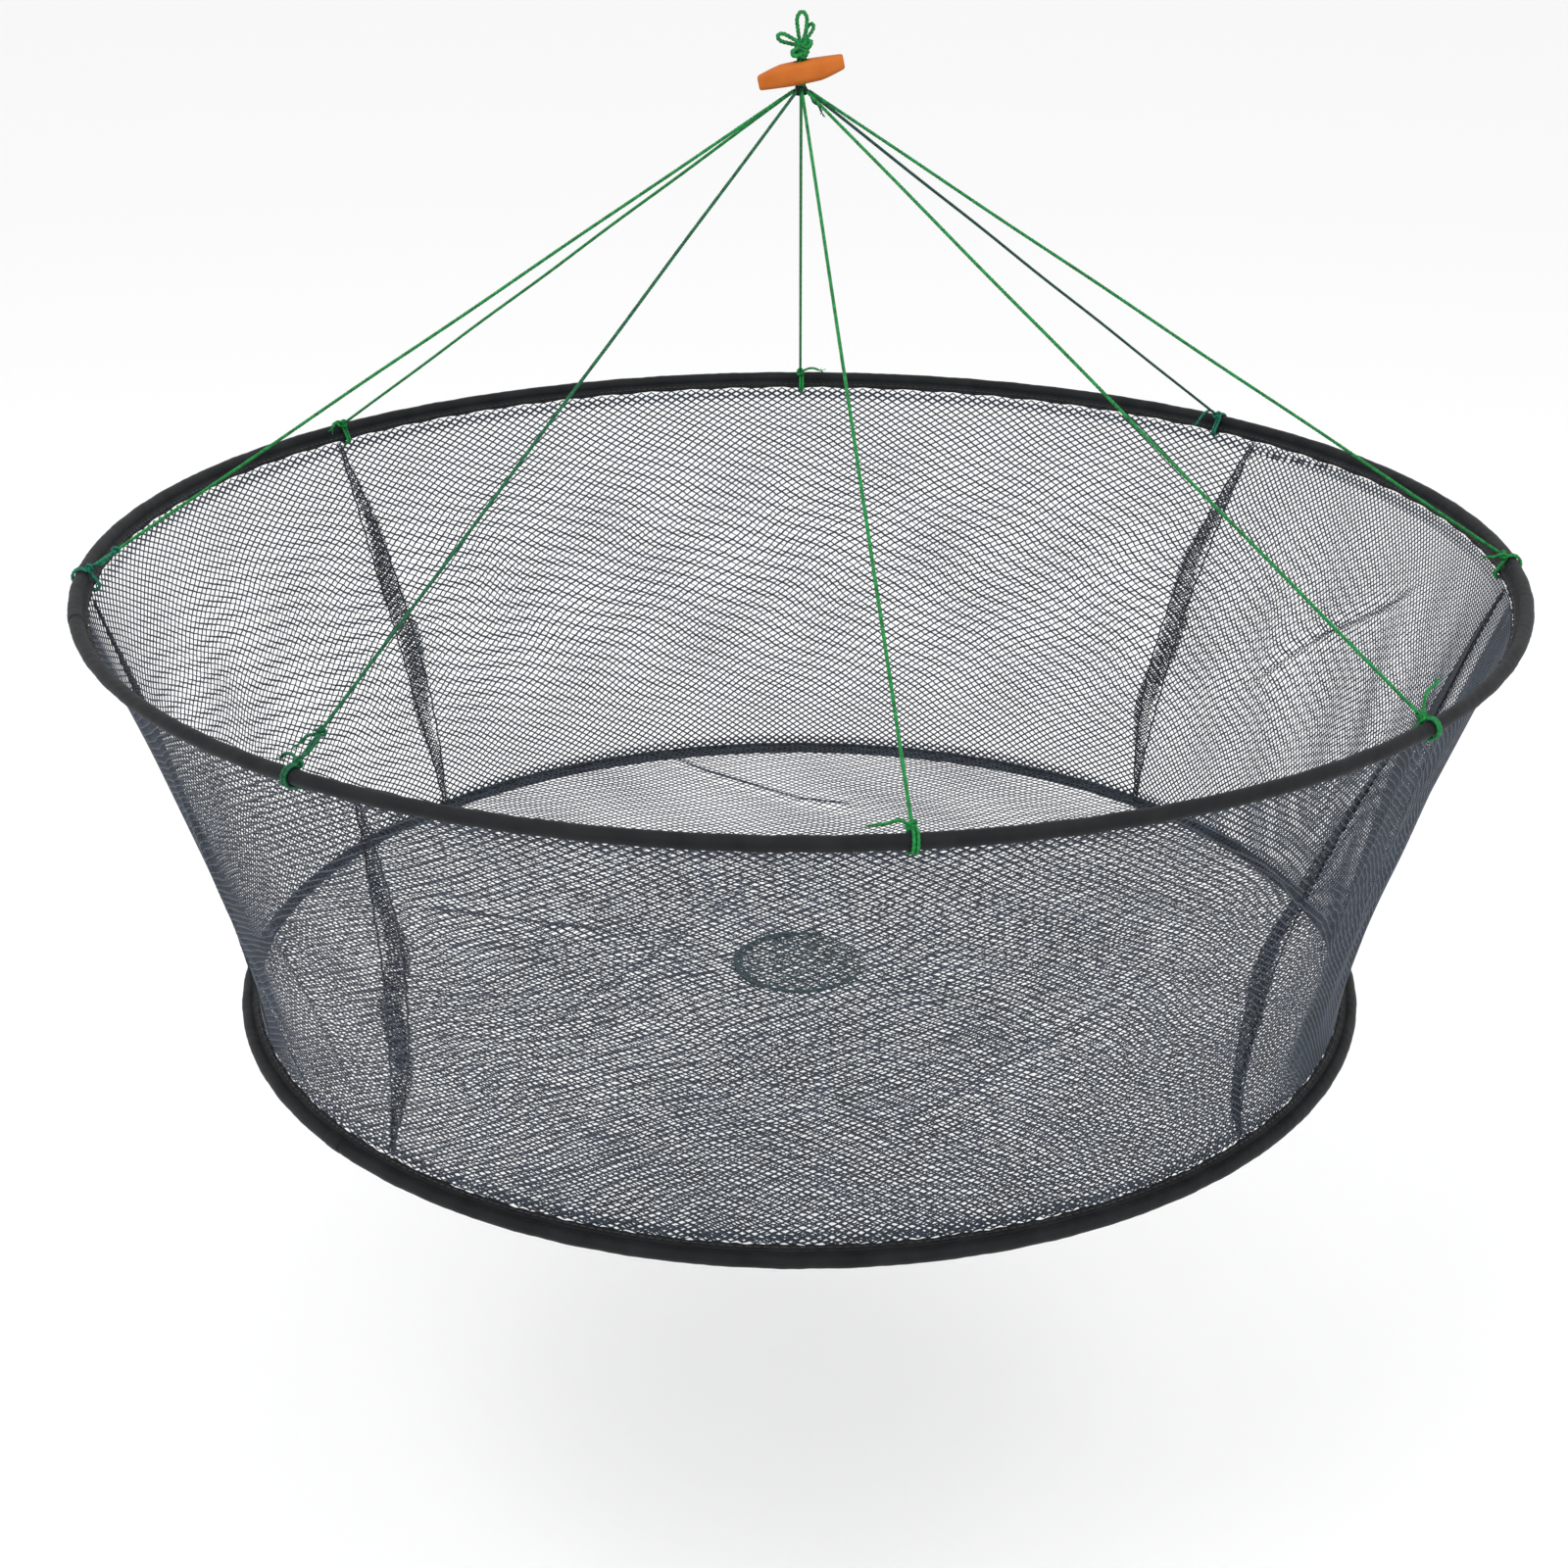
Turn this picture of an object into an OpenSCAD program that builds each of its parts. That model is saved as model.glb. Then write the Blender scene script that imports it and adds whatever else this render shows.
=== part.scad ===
// Folding drop net: two spring-steel hoops in sewn sleeves, a tapered net wall,
// a net floor with a doubled centre patch, and an eight-cord bridle that passes
// through a float and ends in a bow-shaped hauling knot.
// The origin is inside the crown of the bow's top loop, where a hauling line pulls.
// The net hangs below it, +Z is up, and azimuths are turned from +X about +Z.

/* [Hoops] */
// Outside diameter of the top hoop
top_hoop_d = 800; // [740:10:1000]
// Outside diameter of the bottom hoop
bottom_hoop_d = 660; // [450:10:720]
// Distance between the planes of the two hoops
basket_depth = 255; // [180:5:400]
// Diameter of the spring-steel wire
wire_d = 3; // [2:0.5:4]
// Diameter of the sleeve round the wire
sleeve_d = 7.5; // [7:0.5:10]
// Distance from the wire to the edge of the sleeve's sewn flap
flap_reach = 8.5; // [7.5:0.5:12]
// Thickness of the sewn flap
flap_t = 2; // [1.5:0.25:2.5]

/* [Netting] */
// How strongly the wall bows inward: 1 is a straight cone
wall_bow = 1.4; // [1:0.1:2.5]
// Thickness of a single layer of net
net_t = 1; // [0.6:0.1:1.5]
// Thickness of a doubled layer of net
double_t = 2; // [1.5:0.1:3]
// Width of the doubled seam bands in the wall
seam_w = 14; // [8:1:20]
// Diameter of the doubled patch in the middle of the floor
patch_d = 80; // [40:5:160]

/* [Bridle] */
// Height of the cords' meeting point above the top hoop
bridle_rise = 253; // [120:1:400]
// Diameter of a bridle cord
cord_d = 1.8; // [1.2:0.1:2]
// Length of the tail that each rim knot leaves
tail_l = 14; // [6:1:25]

/* [Float] */
// Length of the float
float_l = 46; // [36:1:80]
// Height of the float at its middle
float_h = 11.8; // [9:0.1:16]
// Width of the float at its middle
float_w = 15; // [13:0.5:24]
// Height of the float's blunt ends
float_end_h = 6.4; // [4:0.1:8]
// Width of the float's blunt ends
float_end_w = 9; // [6:0.5:12]
// Lean of the float on the cords, in degrees
float_tilt = 12; // [0:1:14]
// Diameter of the hole through the float
float_bore_d = 8.6; // [8.4:0.1:9]

/* [Hidden] */
$fn = 96;
// Smoothness of the float's long flat arcs
flat_arc_fn = 960;

// Azimuth of each bridle cord, in the order of its number
knot_az = [90, 140, 187, 235, 277, 318, 357, 45];
// Azimuth of each wall seam, rising, and once more where the round closes
seam_az = [45, 140, 187, 235, 318, 357, 405];

wire_r = wire_d / 2;
sleeve_r = sleeve_d / 2;
sleeve_sides = 12;
cord_r = cord_d / 2;
fit_gap = 0.1;

// Ferrules: a crimped tube over the two ends of each wire
ferrule_wall = 0.9;
ferrule_r = wire_r + fit_gap + ferrule_wall;
ferrule_l = 24;
wire_end_gap = 1;
top_ferrule_az = 195;
bottom_ferrule_az = 330;

// Bow-shaped hauling knot and the cord bundle through the float
loop_r = 2.9;
knot_base_r = 4.3;
knot_top_r = 3.3;
knot_top_z = -15.5;
bundle_r = 2.7;
float_top_z = -23.4;
knot_base_z = float_top_z + (knot_base_r + fit_gap) / cos(float_tilt);
float_z = float_top_z - float_h / 2 / cos(float_tilt);
float_under_z = float_z - float_h / 2 / cos(float_tilt);

// Whipping that gathers the cords under the float
whipping_r = 3.3;
whipping_h = 4.4;
whipping_drop = 1.1;
whipping_top_z = float_under_z - whipping_drop;
cord_start_r = whipping_r + cord_r;
cord_start_z = whipping_top_z - whipping_h / 2;

// Hoops: radius of each wire's centre line and height of its plane
top_wire_r = top_hoop_d / 2 - sleeve_r;
bottom_wire_r = bottom_hoop_d / 2 - sleeve_r;
top_z = cord_start_z - bridle_rise;
bottom_z = top_z - basket_depth;

// Flaps: direction of each one seen in the hoop's section, from outward, and its edge
top_flap_turn = 220;
bottom_flap_turn = 145;
top_flap_edge = [top_wire_r + flap_reach * cos(top_flap_turn),
                 top_z + flap_reach * sin(top_flap_turn)];
bottom_flap_edge = [bottom_wire_r + flap_reach * cos(bottom_flap_turn),
                    bottom_z + flap_reach * sin(bottom_flap_turn)];

// Wall: from the top flap's edge down to the bottom flap's edge, bowed inward
net_gap = 0.1;
wall_steps = 12;
wall_top = [top_flap_edge[0] - flap_t / 4, top_flap_edge[1] - flap_t / 2 - net_gap];
wall_bottom = [bottom_flap_edge[0], bottom_flap_edge[1] + flap_t / 2 + net_gap];
function wall_point(s) = [wall_bottom[0] + (wall_top[0] - wall_bottom[0]) * pow(s, wall_bow),
                          wall_bottom[1] + (wall_top[1] - wall_bottom[1]) * s];
seam_half_turn = seam_w / 2 / wall_point(0.5)[0] * 180 / PI;

// Floor: flush with the bottom flap's edge
floor_r = bottom_flap_edge[0] - flap_t / 2 - net_gap;
floor_z = bottom_flap_edge[1] - net_t / 2;

// Stitching: a thread along the upper face of each flap
thread_r = 0.35;
stitch_reach = flap_reach - 2;

// Rim knots: a loop round sleeve and flap, a knot inside it and a tail
loop_gap = 0.15;
loop_flap_half = flap_t / 2 + 2 * thread_r + 2 * loop_gap;
rim_knot_r = 2.2;
rim_knot_turn = 135;
rim_knot_reach = sleeve_r + loop_gap + cord_d + rim_knot_r / 2;
rim_knot_centre = [top_wire_r + rim_knot_reach * cos(rim_knot_turn),
                   top_z + rim_knot_reach * sin(rim_knot_turn)];
// Direction of each tail: inward, along the hoop and up
tail_dirs = [[0.4, -0.9, 0.4], [0.3, 0.9, 0.3], [0.4, -0.8, 0.3], [0.3, -0.9, 0.3],
             [0.4, 0.8, 0.2], [0.1, 0.5, 0.9], [0.5, 0.9, 0.1], [0.4, 0.9, 0.2]];

// ---- shared shapes ----

// A straight round rod from one point to another
module rod(from, to, r) {
    v = to - from;
    translate(from)
        rotate([0, acos(v[2] / norm(v)), atan2(v[1], v[0])])
            cylinder(r = r, h = norm(v));
}

// A length of the ring that has a given section at a given radius and height
module ring_part(r, z, from, turn) {
    rotate([0, 0, from])
        translate([0, 0, z])
            rotate_extrude(angle = turn)
                translate([r, 0])
                    children();
}

// The section of a sleeve: a tube of flat folds and its flap
module sleeve_section(turn) {
    circle(r = sleeve_r, $fn = sleeve_sides);
    rotate(turn)
        translate([0, -flap_t / 2])
            square([flap_reach, flap_t]);
}

// The outline of a cord's turn round a sleeve and its flap, with a margin on each
module turn_outline(turn, sleeve_margin, half) {
    circle(r = sleeve_r + sleeve_margin);
    rotate(turn) {
        translate([0, -half])
            square([flap_reach, 2 * half]);
        translate([flap_reach, 0])
            circle(r = half);
    }
}

// A barrel outline: two arcs between blunt ends
module barrel_outline(l, mid, end) {
    rise = (mid - end) / 2;
    arc_r = (l * l / 4 + rise * rise) / (2 * rise);
    intersection() {
        square([l, mid], center = true);
        translate([0, mid / 2 - arc_r])
            circle(r = arc_r, $fn = flat_arc_fn);
        translate([0, arc_r - mid / 2])
            circle(r = arc_r, $fn = flat_arc_fn);
    }
}

// ---- float and bridle ----

module float() {
    color([0.81, 0.45, 0.20])
        difference() {
            translate([0, 0, float_z])
                rotate([0, -float_tilt, 0])
                    intersection() {
                        rotate([90, 0, 0])
                            linear_extrude(height = float_w, center = true)
                                barrel_outline(float_l, float_h, float_end_h);
                        linear_extrude(height = float_h, center = true)
                            barrel_outline(float_l, float_w, float_end_w);
                    }
            translate([0, 0, float_z - float_h])
                cylinder(d = float_bore_d, h = 2 * float_h);
        }
}

// One loop of the bow, from the knot outward along +Z: two legs and a round crown
module bow_loop(reach, r) {
    foot = r / 3;
    for (side = [-1, 1])
        rod([side * foot, 0, 0], [side * r, 0, reach - r + cord_r / 2], cord_r);
    translate([0, 0, reach - r])
        rotate([90, 0, 0])
            rotate_extrude(angle = 180)
                translate([r, 0])
                    circle(r = cord_r);
}

module hauling_knot() {
    color([0.08, 0.50, 0.25]) {
        translate([0, 0, knot_base_z])
            sphere(r = knot_base_r);
        translate([0, 0, knot_top_z])
            sphere(r = knot_top_r);
        translate([0, 0, whipping_top_z])
            cylinder(r = bundle_r, h = knot_base_z - whipping_top_z);
        translate([0, 0, knot_top_z])
            bow_loop(cord_r - knot_top_z, loop_r);
        translate([0, 0, knot_top_z])
            rotate([0, -68, 0])
                bow_loop(13, loop_r * 0.8);
        translate([0, 0, knot_top_z])
            rotate([0, 28, 25])
                bow_loop(13, loop_r * 0.7);
    }
}

module gather_whipping() {
    color([0.05, 0.25, 0.15])
        translate([0, 0, whipping_top_z - whipping_h])
            cylinder(r = whipping_r, h = whipping_h);
}

// Cord i runs taut from the whipping to its knot on the top hoop
module bridle_cord(i) {
    from = [cord_start_r, 0, cord_start_z];
    knot = [rim_knot_centre[0], 0, rim_knot_centre[1]];
    along = (knot - from) / norm(knot - from);
    color([0.08, 0.55, 0.25])
        rotate([0, 0, knot_az[i - 1]])
            rod(from, knot - along * (rim_knot_r + fit_gap), cord_r);
}

module rim_knot(i) {
    dir = tail_dirs[i - 1];
    knot = [rim_knot_centre[0], 0, rim_knot_centre[1]];
    tail_end = knot + tail_l * [-dir[0], dir[1], dir[2]] / norm(dir);
    color([0.06, 0.60, 0.22])
        rotate([0, 0, knot_az[i - 1]]) {
            translate([top_wire_r, 0, top_z])
                rotate([90, 0, 0])
                    linear_extrude(height = cord_d, center = true)
                        difference() {
                            turn_outline(top_flap_turn, loop_gap + cord_d,
                                         loop_flap_half + cord_d);
                            turn_outline(top_flap_turn, loop_gap, loop_flap_half);
                        }
            translate(knot)
                sphere(r = rim_knot_r);
            rod(knot, tail_end, cord_r);
        }
}

// ---- hoops ----

module hoop_wire(r, z, ferrule_az) {
    gap_turn = wire_end_gap / r * 180 / PI;
    color([0.45, 0.46, 0.48])
        ring_part(r, z, ferrule_az + gap_turn / 2, 360 - gap_turn)
            circle(r = wire_r);
}

module hoop_ferrule(r, z, ferrule_az) {
    turn = ferrule_l / r * 180 / PI;
    color([0.62, 0.63, 0.65])
        ring_part(r, z, ferrule_az - turn / 2, turn)
            difference() {
                circle(r = ferrule_r);
                circle(r = wire_r + fit_gap / 2);
            }
}

// The bore is wide enough for the ferrule, so the wire lies loose in it
module hoop_sleeve(r, z, flap_turn) {
    color([0.10, 0.11, 0.11])
        ring_part(r, z, 0, 360)
            difference() {
                sleeve_section(flap_turn);
                circle(r = ferrule_r + 2 * fit_gap, $fn = sleeve_sides);
            }
}

// The thread lies on the flap's upper face
module hoop_stitching(r, z, flap_turn) {
    lift = -(flap_t / 2 + thread_r + fit_gap / 2);
    color([0.16, 0.18, 0.18])
        ring_part(r, z, 0, 360)
            rotate(flap_turn)
                translate([stitch_reach, lift])
                    circle(r = thread_r);
}

// ---- netting ----

module wall_section(t) {
    outer = [for (i = [0:wall_steps]) wall_point(i / wall_steps) + [t / 2, 0]];
    inner = [for (i = [wall_steps:-1:0]) wall_point(i / wall_steps) - [t / 2, 0]];
    polygon(concat(outer, inner));
}

// The room that the rim knots' loops need where they pass through the net
module cord_passages() {
    room = 2 * (loop_flap_half + cord_d + loop_gap);
    for (a = knot_az)
        rotate([0, 0, a])
            translate([top_flap_edge[0], 0, top_flap_edge[1]])
                cube([room, cord_d + 2 * loop_gap, room], center = true);
}

module wall_part(from, to, t) {
    difference() {
        ring_part(0, 0, from, to - from)
            wall_section(t);
        cord_passages();
    }
}

module wall_panel(i) {
    color([0.30, 0.32, 0.35])
        wall_part(seam_az[i - 1] + seam_half_turn, seam_az[i] - seam_half_turn, net_t);
}

module wall_seam(i) {
    color([0.14, 0.17, 0.19])
        wall_part(seam_az[i - 1] - seam_half_turn, seam_az[i - 1] + seam_half_turn, double_t);
}

module floor_net() {
    color([0.30, 0.32, 0.35])
        translate([0, 0, floor_z])
            cylinder(r = floor_r, h = net_t);
}

module centre_patch() {
    color([0.14, 0.17, 0.19])
        translate([0, 0, floor_z + net_t])
            cylinder(d = patch_d, h = net_t);
}

// ---- nodes ----

float();
hauling_knot();
gather_whipping();
for (i = [1:8]) {
    bridle_cord(i);
    rim_knot(i);
}
hoop_wire(top_wire_r, top_z, top_ferrule_az);  // top_hoop_wire
hoop_ferrule(top_wire_r, top_z, top_ferrule_az);  // top_hoop_ferrule
hoop_sleeve(top_wire_r, top_z, top_flap_turn);  // top_hoop_sleeve
hoop_stitching(top_wire_r, top_z, top_flap_turn);  // top_stitching
for (i = [1:6]) {
    wall_panel(i);
    wall_seam(i);
}
hoop_wire(bottom_wire_r, bottom_z, bottom_ferrule_az);  // bottom_hoop_wire
hoop_ferrule(bottom_wire_r, bottom_z, bottom_ferrule_az);  // bottom_hoop_ferrule
hoop_sleeve(bottom_wire_r, bottom_z, bottom_flap_turn);  // bottom_hoop_sleeve
hoop_stitching(bottom_wire_r, bottom_z, bottom_flap_turn);  // bottom_stitching
floor_net();
centre_patch();
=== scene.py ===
"""The looks of a folding drop net: fine diamond netting between two sleeved hoops,
and an eight-cord bridle that runs through a small float to a bow-shaped knot."""

import math

import bpy
import numpy as np
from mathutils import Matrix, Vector


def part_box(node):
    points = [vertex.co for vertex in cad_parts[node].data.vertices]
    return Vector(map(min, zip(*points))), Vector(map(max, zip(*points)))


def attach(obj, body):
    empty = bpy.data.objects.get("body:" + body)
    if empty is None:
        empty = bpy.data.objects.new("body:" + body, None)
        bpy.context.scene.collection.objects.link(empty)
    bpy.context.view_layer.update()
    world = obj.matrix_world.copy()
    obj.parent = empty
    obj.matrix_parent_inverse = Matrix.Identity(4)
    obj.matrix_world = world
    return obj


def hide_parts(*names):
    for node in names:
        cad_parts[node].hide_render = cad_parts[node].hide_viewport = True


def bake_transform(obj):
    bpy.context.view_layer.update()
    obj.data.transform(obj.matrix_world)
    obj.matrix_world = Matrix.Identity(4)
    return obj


MM = 0.001

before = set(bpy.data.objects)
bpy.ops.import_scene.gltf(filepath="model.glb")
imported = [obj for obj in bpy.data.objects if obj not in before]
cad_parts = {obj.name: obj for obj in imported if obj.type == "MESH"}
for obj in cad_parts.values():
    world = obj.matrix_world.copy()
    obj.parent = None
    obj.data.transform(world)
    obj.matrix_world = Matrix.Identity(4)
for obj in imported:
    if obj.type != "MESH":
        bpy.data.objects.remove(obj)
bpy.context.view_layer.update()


# ---- sizes, from the frame and the driving values of the CAD model ----

SLEEVE_R = 3.75 * MM
FLAP_REACH = 8.5 * MM
TOP_FLAP_TURN = math.radians(220)
BOTTOM_FLAP_TURN = math.radians(145)
CORD_D = 1.8 * MM
SEAM_W = 14 * MM
PATCH_R = 40 * MM
WALL_BOW = 1.4
KNOT_AZ = [math.radians(a) for a in (90, 140, 187, 235, 277, 318, 357, 45)]
SEAM_AZ = [math.radians(a) for a in (45, 140, 187, 235, 318, 357)]


def hoop_of(wire):
    """Radius and height of a hoop's centre line, from its wire's box."""
    low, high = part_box(wire)
    wire_r = (high.z - low.z) / 2
    return high.x - wire_r, (low.z + high.z) / 2


TOP_R, TOP_Z = hoop_of("top_hoop_wire")
BOTTOM_R, BOTTOM_Z = hoop_of("bottom_hoop_wire")


def flap_edge(r, z, turn):
    """Where the net leaves a sleeve's flap, in the hoop's section."""
    return r + FLAP_REACH * math.cos(turn), z + FLAP_REACH * math.sin(turn)


NET_TOP_R, NET_TOP_Z = flap_edge(TOP_R, TOP_Z, TOP_FLAP_TURN)
NET_BOTTOM_R, NET_BOTTOM_Z = flap_edge(BOTTOM_R, BOTTOM_Z, BOTTOM_FLAP_TURN)

# Diamonds of the net, and the thread between them
CELL_W = 6.5 * MM
CELL_H = 4.2 * MM
THREAD_W = 1.0 * MM
THREAD_T = 0.7 * MM
SELVEDGE_W = 1.5 * MM


# ---- shared helpers ----

def mesh_object(name, verts, faces, smooth=True):
    """A mesh object from an array of points and an array of quads or triangles."""
    verts = np.asarray(verts, np.float32)
    faces = np.asarray(faces, np.int32)
    mesh = bpy.data.meshes.new(name)
    mesh.vertices.add(len(verts))
    mesh.vertices.foreach_set("co", verts.ravel())
    count, sides = faces.shape
    mesh.loops.add(count * sides)
    mesh.loops.foreach_set("vertex_index", faces.ravel())
    mesh.polygons.add(count)
    mesh.polygons.foreach_set("loop_start", np.arange(count, dtype=np.int32) * sides)
    mesh.update(calc_edges=True)
    mesh.validate()
    mesh.polygons.foreach_set("use_smooth", np.full(count, smooth))
    obj = bpy.data.objects.new(name, mesh)
    bpy.context.scene.collection.objects.link(obj)
    return obj


def evenly(path, step):
    """The same path with its points a step apart."""
    path = np.asarray(path, float)
    along = np.concatenate([[0], np.cumsum(np.linalg.norm(np.diff(path, axis=0), axis=1))])
    at = np.linspace(0, along[-1], max(int(along[-1] / step), 2) + 1)
    return np.stack([np.interp(at, along, path[:, k]) for k in range(3)], -1)


def smooth_path(points, step=0.35 * MM):
    """A smooth curve through a few points."""
    p = np.asarray(points, float)
    p = np.concatenate([[2 * p[0] - p[1]], p, [2 * p[-1] - p[-2]]])
    t = np.linspace(0, 1, 12, endpoint=False)[:, None]
    parts = []
    for a, b, c, d in zip(p[:-3], p[1:-2], p[2:-1], p[3:]):
        bend = 2 * a - 5 * b + 4 * c - d
        swing = 3 * b - a - 3 * c + d
        parts.append(b + ((c - a) * t + bend * t ** 2 + swing * t ** 3) / 2)
    return evenly(np.concatenate(parts + [p[-2:-1]]), step)


def frames_along(path):
    """Two cross directions along a path that turn as little as they can."""
    tangent = np.gradient(path, axis=0)
    tangent /= np.linalg.norm(tangent, axis=1)[:, None] + 1e-12
    side = np.zeros_like(path)
    guess = np.array([0, 0, 1.0]) if abs(tangent[0][2]) < 0.9 else np.array([1.0, 0, 0])
    for i, t in enumerate(tangent):
        guess = guess - t * (guess @ t)
        guess /= np.linalg.norm(guess)
        side[i] = guess
    return side, np.cross(tangent, side)


def tube_faces(rows, sides):
    """Quads for the side and both ends of a closed tube."""
    i = np.arange(rows - 1)[:, None] * sides
    j = np.arange(sides)[None, :]
    k = (j + 1) % sides
    quads = np.stack([i + j, i + k, i + sides + k, i + sides + j], -1).reshape(-1, 4)
    fan = np.arange(1, sides - 1, 2)
    cap = np.stack([np.zeros_like(fan), fan + 2, fan + 1, fan], -1) % sides
    return np.concatenate([quads, cap, (rows - 1) * sides + cap[:, ::-1]])


def tube(path, radius, sides=12, strands=3, pitch=6 * MM, depth=0.16):
    """A laid cord as points and quads: its lobed section turns once in each pitch."""
    path = np.asarray(path, float)
    side, other = frames_along(path)
    along = np.concatenate([[0], np.cumsum(np.linalg.norm(np.diff(path, axis=0), axis=1))])
    turn = np.arange(sides) * 2 * math.pi / sides
    lobes = 1 + depth * np.cos(strands * (turn[None, :] - 2 * math.pi * along[:, None] / pitch))
    r = np.broadcast_to(np.asarray(radius, float), (len(path),))[:, None] * lobes / (1 + depth / 2)
    rings = (path[:, None] + r[..., None] * (np.cos(turn)[None, :, None] * side[:, None]
                                             + np.sin(turn)[None, :, None] * other[:, None]))
    return rings.reshape(-1, 3), tube_faces(len(path), sides)


def merged(parts):
    """Several meshes of quads as one."""
    offset, faces = 0, []
    for verts, quads in parts:
        faces.append(quads + offset)
        offset += len(verts)
    return np.concatenate([verts for verts, _ in parts]), np.concatenate(faces)


def new_material(name, color, roughness):
    """A Principled material with its nodes, its links and its shader."""
    mat = bpy.data.materials.new(name)
    mat.use_nodes = True
    nodes, links = mat.node_tree.nodes, mat.node_tree.links
    shader = nodes["Principled BSDF"]
    shader.inputs["Base Color"].default_value = (*color, 1)
    shader.inputs["Roughness"].default_value = roughness
    return mat, nodes, links, shader


def set_material(obj, mat):
    obj.data.materials.clear()
    obj.data.materials.append(mat)


def add_noise(nodes, links, scale, detail=3):
    """Noise in the object's own metres."""
    place = nodes.new("ShaderNodeTexCoord")
    noise = nodes.new("ShaderNodeTexNoise")
    noise.inputs["Scale"].default_value = scale
    noise.inputs["Detail"].default_value = detail
    links.new(place.outputs["Object"], noise.inputs["Vector"])
    return noise


def color_between(nodes, links, shader, factor, low, high):
    """The shader's colour runs from low to high as the factor goes from 0.3 to 0.7."""
    ramp = nodes.new("ShaderNodeValToRGB")
    ramp.color_ramp.elements[0].position = 0.3
    ramp.color_ramp.elements[1].position = 0.7
    ramp.color_ramp.elements[0].color = (*low, 1)
    ramp.color_ramp.elements[1].color = (*high, 1)
    links.new(factor, ramp.inputs["Fac"])
    links.new(ramp.outputs["Color"], shader.inputs["Base Color"])


def add_bump(nodes, links, shader, height, distance, strength=0.6):
    bump = nodes.new("ShaderNodeBump")
    bump.inputs["Distance"].default_value = distance
    bump.inputs["Strength"].default_value = strength
    links.new(height, bump.inputs["Height"])
    links.new(bump.outputs["Normal"], shader.inputs["Normal"])


# ---- camera, light and floor ----

def make_camera():
    """The photograph's view: 22.7 degrees above, 1.47 m from the net's middle."""
    distance, elevation = 1.4734, math.radians(22.69)
    target = Vector((0, 0, -0.418))
    back = Vector((0, -math.cos(elevation), math.sin(elevation)))
    data = bpy.data.cameras.new("camera")
    data.sensor_width = 36
    data.lens = 57.9
    data.clip_start = 0.01
    data.clip_end = 200
    cam = bpy.data.objects.new("camera", data)
    bpy.context.scene.collection.objects.link(cam)
    cam.location = target + back * distance
    right, up = Vector((1, 0, 0)), Vector((0, math.sin(elevation), math.cos(elevation)))
    aim = target - right * 0.0089 - up * 0.0156
    cam.rotation_mode = "QUATERNION"
    cam.rotation_quaternion = (aim - cam.location).to_track_quat("-Z", "Y")
    bpy.context.scene.camera = cam


def area_light(name, place, aim, size, power):
    data = bpy.data.lights.new(name, "AREA")
    data.size = size
    data.energy = power
    light = bpy.data.objects.new(name, data)
    bpy.context.scene.collection.objects.link(light)
    light.location = place
    light.rotation_mode = "QUATERNION"
    light.rotation_quaternion = (Vector(aim) - Vector(place)).to_track_quat("-Z", "Y")


def make_studio():
    """A pale floor under the hanging net, a white surround and two soft lamps."""
    half, floor_z = 40.0, BOTTOM_Z - 0.35
    corners = [(-half, -half, floor_z), (half, -half, floor_z),
               (half, half, floor_z), (-half, half, floor_z)]
    floor = mesh_object("floor", corners, [(0, 1, 2, 3)], smooth=False)
    mat, _, _, _ = new_material("floor_white", (0.93, 0.93, 0.93), 0.9)
    set_material(floor, mat)
    world = bpy.data.worlds.new("studio")
    bpy.context.scene.world = world
    world.use_nodes = True
    sky = world.node_tree.nodes["Background"]
    sky.inputs["Color"].default_value = (1, 1, 1, 1)
    sky.inputs["Strength"].default_value = 1.0
    area_light("key", (-1.2, -1.6, 1.8), (0, 0, -0.4), 1.6, 28)
    area_light("fill", (1.6, -1.0, 1.2), (0, 0, -0.4), 1.6, 12)
    bpy.context.scene.view_settings.view_transform = "Standard"


# ---- cords ----

APEX_R = 4.2 * MM
APEX_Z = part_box("bridle_cord_1")[1].z
KNOT_TURN = math.radians(135)
KNOT_REACH = 6.8 * MM
KNOT_BALL_R = 2.2 * MM
CORD_R = CORD_D / 2


def polar(r, a, z):
    return np.array([r * math.cos(a), r * math.sin(a), z])


def rim_knot_centre(a):
    return polar(TOP_R + KNOT_REACH * math.cos(KNOT_TURN), a,
                 TOP_Z + KNOT_REACH * math.sin(KNOT_TURN))


def cord_ends(a):
    """Where a bridle cord starts under the float and where it meets its rim knot."""
    start = polar(APEX_R, a, APEX_Z - CORD_R)
    knot = rim_knot_centre(a)
    along = (knot - start) / np.linalg.norm(knot - start)
    return start, knot - along * KNOT_BALL_R


def cord_material(name, low, high):
    """Twisted green cord: fibres, and random darker patches that are painted shade."""
    mat, nodes, links, shader = new_material(name, high, 0.55)
    shader.inputs["Specular IOR Level"].default_value = 0.3
    noise = add_noise(nodes, links, 420)
    # Random patches run to the low colour: painted shade on the cords and knots.
    color_between(nodes, links, shader, noise.outputs["Fac"], low, high)
    fibre = add_noise(nodes, links, 3500)
    add_bump(nodes, links, shader, fibre.outputs["Fac"], 0.15 * MM)
    return mat


# The first colour of each cord material is the painted shade of its random darker patches.
GREEN = cord_material("cord_green", (0.001, 0.09, 0.018), (0.003, 0.27, 0.05))
DEEP_GREEN = cord_material("cord_deep_green", (0.001, 0.04, 0.02), (0.003, 0.14, 0.05))
# A darker, bluer copy of the cord green for the back-right cord: painted shade.
SHADED_BLUE_GREEN = cord_material("cord_blue_green_shaded", (0.002, 0.025, 0.024), (0.006, 0.08, 0.06))
DARK_GREEN = cord_material("cord_dark_green", (0.001, 0.014, 0.010), (0.003, 0.05, 0.03))
TEAL = cord_material("cord_teal", (0.002, 0.07, 0.045), (0.006, 0.19, 0.11))


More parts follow.
